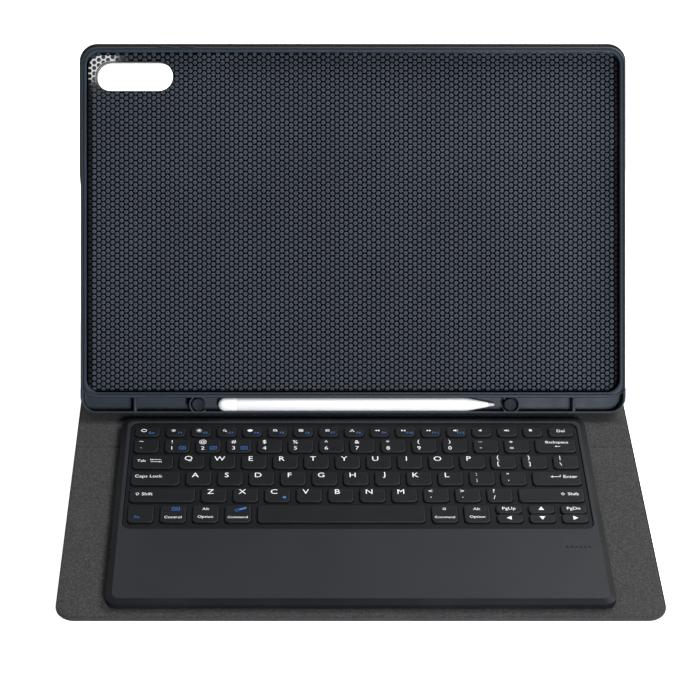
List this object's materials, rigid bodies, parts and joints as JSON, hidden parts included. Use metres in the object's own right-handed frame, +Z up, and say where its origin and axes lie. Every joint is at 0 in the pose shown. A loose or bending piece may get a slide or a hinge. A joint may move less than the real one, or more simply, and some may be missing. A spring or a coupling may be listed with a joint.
{
  "type": "tablet keyboard case",
  "caption": "Folio case for a large tablet, propped open: leaning soft tray with pen strip, detachable low-profile keyboard on the front cover, folded back panel as stand.",
  "frame": {"origin": "centre of the front cover's underside, which lies on the table", "axes": "+X to the right of a person typing, +Y away from them towards the tray, +Z up"},
  "size_m": [0.335, 0.3183, 0.1839],
  "materials": {
    "leather_skin": "matt pebbled leatherette",
    "suede_lining": "brushed microfibre",
    "board": "stiff board",
    "magnet": "nickel plated",
    "soft_shell": "satin soft plastic",
    "keyboard_case": "fine matt plastic",
    "key_plastic": "fine matt plastic",
    "steel": "plain",
    "membrane": "clear film",
    "silicone": "soft translucent",
    "circuit": "solder mask",
    "battery_pouch": "foil pouch",
    "stylus_white": "satin white",
    "stylus_nib": "satin white",
    "foot_rubber": "matt",
    "lamp": "smoked clear"
  },
  "bodies": {
    "cover": {"cover_skin": "leather_skin", "cover_board": "board", "cover_lining": "suede_lining", "cover_magnets": "magnet"},
    "spine": {"spine_skin": "leather_skin", "spine_board": "board", "spine_lining": "suede_lining"},
    "foot": {"foot_skin": "leather_skin", "foot_board": "board", "foot_lining": "suede_lining"},
    "leg": {"leg_skin": "leather_skin", "leg_board": "board", "leg_lining": "suede_lining"},
    "tray": {"back_skin": "leather_skin", "back_board": "board", "back_lining": "suede_lining", "tray_shell": "soft_shell"},
    "power_pad": {"power_pad": "soft_shell"},
    "volume_pad": {"volume_pad": "soft_shell"},
    "stylus": {"stylus_barrel": "stylus_white", "stylus_tip": "stylus_nib"},
    "keyboard": {"keyboard_top_frame": "keyboard_case", "keyboard_bottom_cover": "keyboard_case", "keyboard_screws": "steel", "key_deck": "keyboard_case", "steel_plate": "steel", "key_membrane": "membrane", "dome_sheet": "silicone", "circuit_board": "circuit", "battery": "battery_pouch", "charge_port": "steel", "keyboard_feet": "foot_rubber", "lamp_guides": "lamp"},
    "power_switch": {"power_switch": "key_plastic"},
    "key_arrow_down": {"key_arrow_down": "key_plastic"},
    "key_arrow_left": {"key_arrow_left": "key_plastic"},
    "key_arrow_right": {"key_arrow_right": "key_plastic"},
    "key_arrow_up": {"key_arrow_up": "key_plastic"},
    "key_backspace": {"key_backspace": "key_plastic"},
    "key_caps_lock": {"key_caps_lock": "key_plastic"},
    "key_command_left": {"key_command_left": "key_plastic"},
    "key_command_right": {"key_command_right": "key_plastic"},
    "key_control": {"key_control": "key_plastic"},
    "key_delete": {"key_delete": "key_plastic"},
    "key_enter": {"key_enter": "key_plastic"},
    "key_escape": {"key_escape": "key_plastic"},
    "key_function": {"key_function": "key_plastic"},
    "key_option_left": {"key_option_left": "key_plastic"},
    "key_option_right": {"key_option_right": "key_plastic"},
    "key_page_down": {"key_page_down": "key_plastic"},
    "key_page_up": {"key_page_up": "key_plastic"},
    "key_shift_left": {"key_shift_left": "key_plastic"},
    "key_shift_right": {"key_shift_right": "key_plastic"},
    "key_space": {"key_space": "key_plastic"},
    "key_tab": {"key_tab": "key_plastic"},
    "keys_function_row": {"keys_function_row": "key_plastic"},
    "keys_home_row": {"keys_home_row": "key_plastic"},
    "keys_lower_letter_row": {"keys_lower_letter_row": "key_plastic"},
    "keys_number_row": {"keys_number_row": "key_plastic"},
    "keys_upper_letter_row": {"keys_upper_letter_row": "key_plastic"}
  },
  "joints": [
    {"name": "cover_fold", "type": "hinge", "parent": "cover", "child": "spine", "pos_m": [0, 0.11425, 0.00075], "axis": [1, 0, 0], "range_deg": [-90, 0]},
    {"name": "spine_fold", "type": "hinge", "parent": "spine", "child": "foot", "pos_m": [0, 0.13625, 0.00075], "axis": [1, 0, 0], "range_deg": [-90, 0]},
    {"name": "stand_fold", "type": "hinge", "parent": "foot", "child": "leg", "pos_m": [0, 0.16737, 0.00075], "axis": [1, 0, 0], "range_deg": [-96.34, 0]},
    {"name": "back_fold", "type": "hinge", "parent": "leg", "child": "tray", "pos_m": [0, 0.15443, 0.11731], "axis": [1, 0, 0], "range_deg": [0, 44.35]},
    {"name": "keyboard_lift", "type": "slide", "parent": "cover", "child": "keyboard", "axis": [0, 0, 1], "range_m": [0, 0.03]},
    {"name": "stylus_removal", "type": "slide", "parent": "tray", "child": "stylus", "axis": [0, -0.788, 0.6157], "range_m": [0, 0.02]},
    {"name": "power_switch_slide", "type": "slide", "parent": "keyboard", "child": "power_switch", "axis": [0, 1, 0], "range_m": [0, 0.0025]},
    {"name": "power_pad_press", "type": "slide", "parent": "tray", "child": "power_pad", "axis": [0, -0.6157, -0.788], "range_m": [0, 0.0004]},
    {"name": "volume_pad_press", "type": "slide", "parent": "tray", "child": "volume_pad", "axis": [0, -0.6157, -0.788], "range_m": [0, 0.0004]},
    {"name": "key_arrow_down_press", "type": "slide", "parent": "keyboard", "child": "key_arrow_down", "axis": [0, 0, -1], "range_m": [0, 0.0014], "stiffness_N_per_m": 20},
    {"name": "key_arrow_left_press", "type": "slide", "parent": "keyboard", "child": "key_arrow_left", "axis": [0, 0, -1], "range_m": [0, 0.0014], "stiffness_N_per_m": 20},
    {"name": "key_arrow_right_press", "type": "slide", "parent": "keyboard", "child": "key_arrow_right", "axis": [0, 0, -1], "range_m": [0, 0.0014], "stiffness_N_per_m": 20},
    {"name": "key_arrow_up_press", "type": "slide", "parent": "keyboard", "child": "key_arrow_up", "axis": [0, 0, -1], "range_m": [0, 0.0014], "stiffness_N_per_m": 20},
    {"name": "key_backspace_press", "type": "slide", "parent": "keyboard", "child": "key_backspace", "axis": [0, 0, -1], "range_m": [0, 0.0014], "stiffness_N_per_m": 20},
    {"name": "key_caps_lock_press", "type": "slide", "parent": "keyboard", "child": "key_caps_lock", "axis": [0, 0, -1], "range_m": [0, 0.0014], "stiffness_N_per_m": 20},
    {"name": "key_command_left_press", "type": "slide", "parent": "keyboard", "child": "key_command_left", "axis": [0, 0, -1], "range_m": [0, 0.0014], "stiffness_N_per_m": 20},
    {"name": "key_command_right_press", "type": "slide", "parent": "keyboard", "child": "key_command_right", "axis": [0, 0, -1], "range_m": [0, 0.0014], "stiffness_N_per_m": 20},
    {"name": "key_control_press", "type": "slide", "parent": "keyboard", "child": "key_control", "axis": [0, 0, -1], "range_m": [0, 0.0014], "stiffness_N_per_m": 20},
    {"name": "key_delete_press", "type": "slide", "parent": "keyboard", "child": "key_delete", "axis": [0, 0, -1], "range_m": [0, 0.0014], "stiffness_N_per_m": 20},
    {"name": "key_enter_press", "type": "slide", "parent": "keyboard", "child": "key_enter", "axis": [0, 0, -1], "range_m": [0, 0.0014], "stiffness_N_per_m": 20},
    {"name": "key_escape_press", "type": "slide", "parent": "keyboard", "child": "key_escape", "axis": [0, 0, -1], "range_m": [0, 0.0014], "stiffness_N_per_m": 20},
    {"name": "key_function_press", "type": "slide", "parent": "keyboard", "child": "key_function", "axis": [0, 0, -1], "range_m": [0, 0.0014], "stiffness_N_per_m": 20},
    {"name": "key_option_left_press", "type": "slide", "parent": "keyboard", "child": "key_option_left", "axis": [0, 0, -1], "range_m": [0, 0.0014], "stiffness_N_per_m": 20},
    {"name": "key_option_right_press", "type": "slide", "parent": "keyboard", "child": "key_option_right", "axis": [0, 0, -1], "range_m": [0, 0.0014], "stiffness_N_per_m": 20},
    {"name": "key_page_down_press", "type": "slide", "parent": "keyboard", "child": "key_page_down", "axis": [0, 0, -1], "range_m": [0, 0.0014], "stiffness_N_per_m": 20},
    {"name": "key_page_up_press", "type": "slide", "parent": "keyboard", "child": "key_page_up", "axis": [0, 0, -1], "range_m": [0, 0.0014], "stiffness_N_per_m": 20},
    {"name": "key_shift_left_press", "type": "slide", "parent": "keyboard", "child": "key_shift_left", "axis": [0, 0, -1], "range_m": [0, 0.0014], "stiffness_N_per_m": 20},
    {"name": "key_shift_right_press", "type": "slide", "parent": "keyboard", "child": "key_shift_right", "axis": [0, 0, -1], "range_m": [0, 0.0014], "stiffness_N_per_m": 20},
    {"name": "key_space_press", "type": "slide", "parent": "keyboard", "child": "key_space", "axis": [0, 0, -1], "range_m": [0, 0.0014], "stiffness_N_per_m": 20},
    {"name": "key_tab_press", "type": "slide", "parent": "keyboard", "child": "key_tab", "axis": [0, 0, -1], "range_m": [0, 0.0014], "stiffness_N_per_m": 20},
    {"name": "keys_function_row_press", "type": "slide", "parent": "keyboard", "child": "keys_function_row", "axis": [0, 0, -1], "range_m": [0, 0.0014], "stiffness_N_per_m": 20},
    {"name": "keys_home_row_press", "type": "slide", "parent": "keyboard", "child": "keys_home_row", "axis": [0, 0, -1], "range_m": [0, 0.0014], "stiffness_N_per_m": 20},
    {"name": "keys_lower_letter_row_press", "type": "slide", "parent": "keyboard", "child": "keys_lower_letter_row", "axis": [0, 0, -1], "range_m": [0, 0.0014], "stiffness_N_per_m": 20},
    {"name": "keys_number_row_press", "type": "slide", "parent": "keyboard", "child": "keys_number_row", "axis": [0, 0, -1], "range_m": [0, 0.0014], "stiffness_N_per_m": 20},
    {"name": "keys_upper_letter_row_press", "type": "slide", "parent": "keyboard", "child": "keys_upper_letter_row", "axis": [0, 0, -1], "range_m": [0, 0.0014], "stiffness_N_per_m": 20, "deforming": ["dome_sheet"]}
  ],
  "couplings": [
    {"joint": "back_fold", "follows": "stand_fold", "ratio": -0.46024}
  ]
}
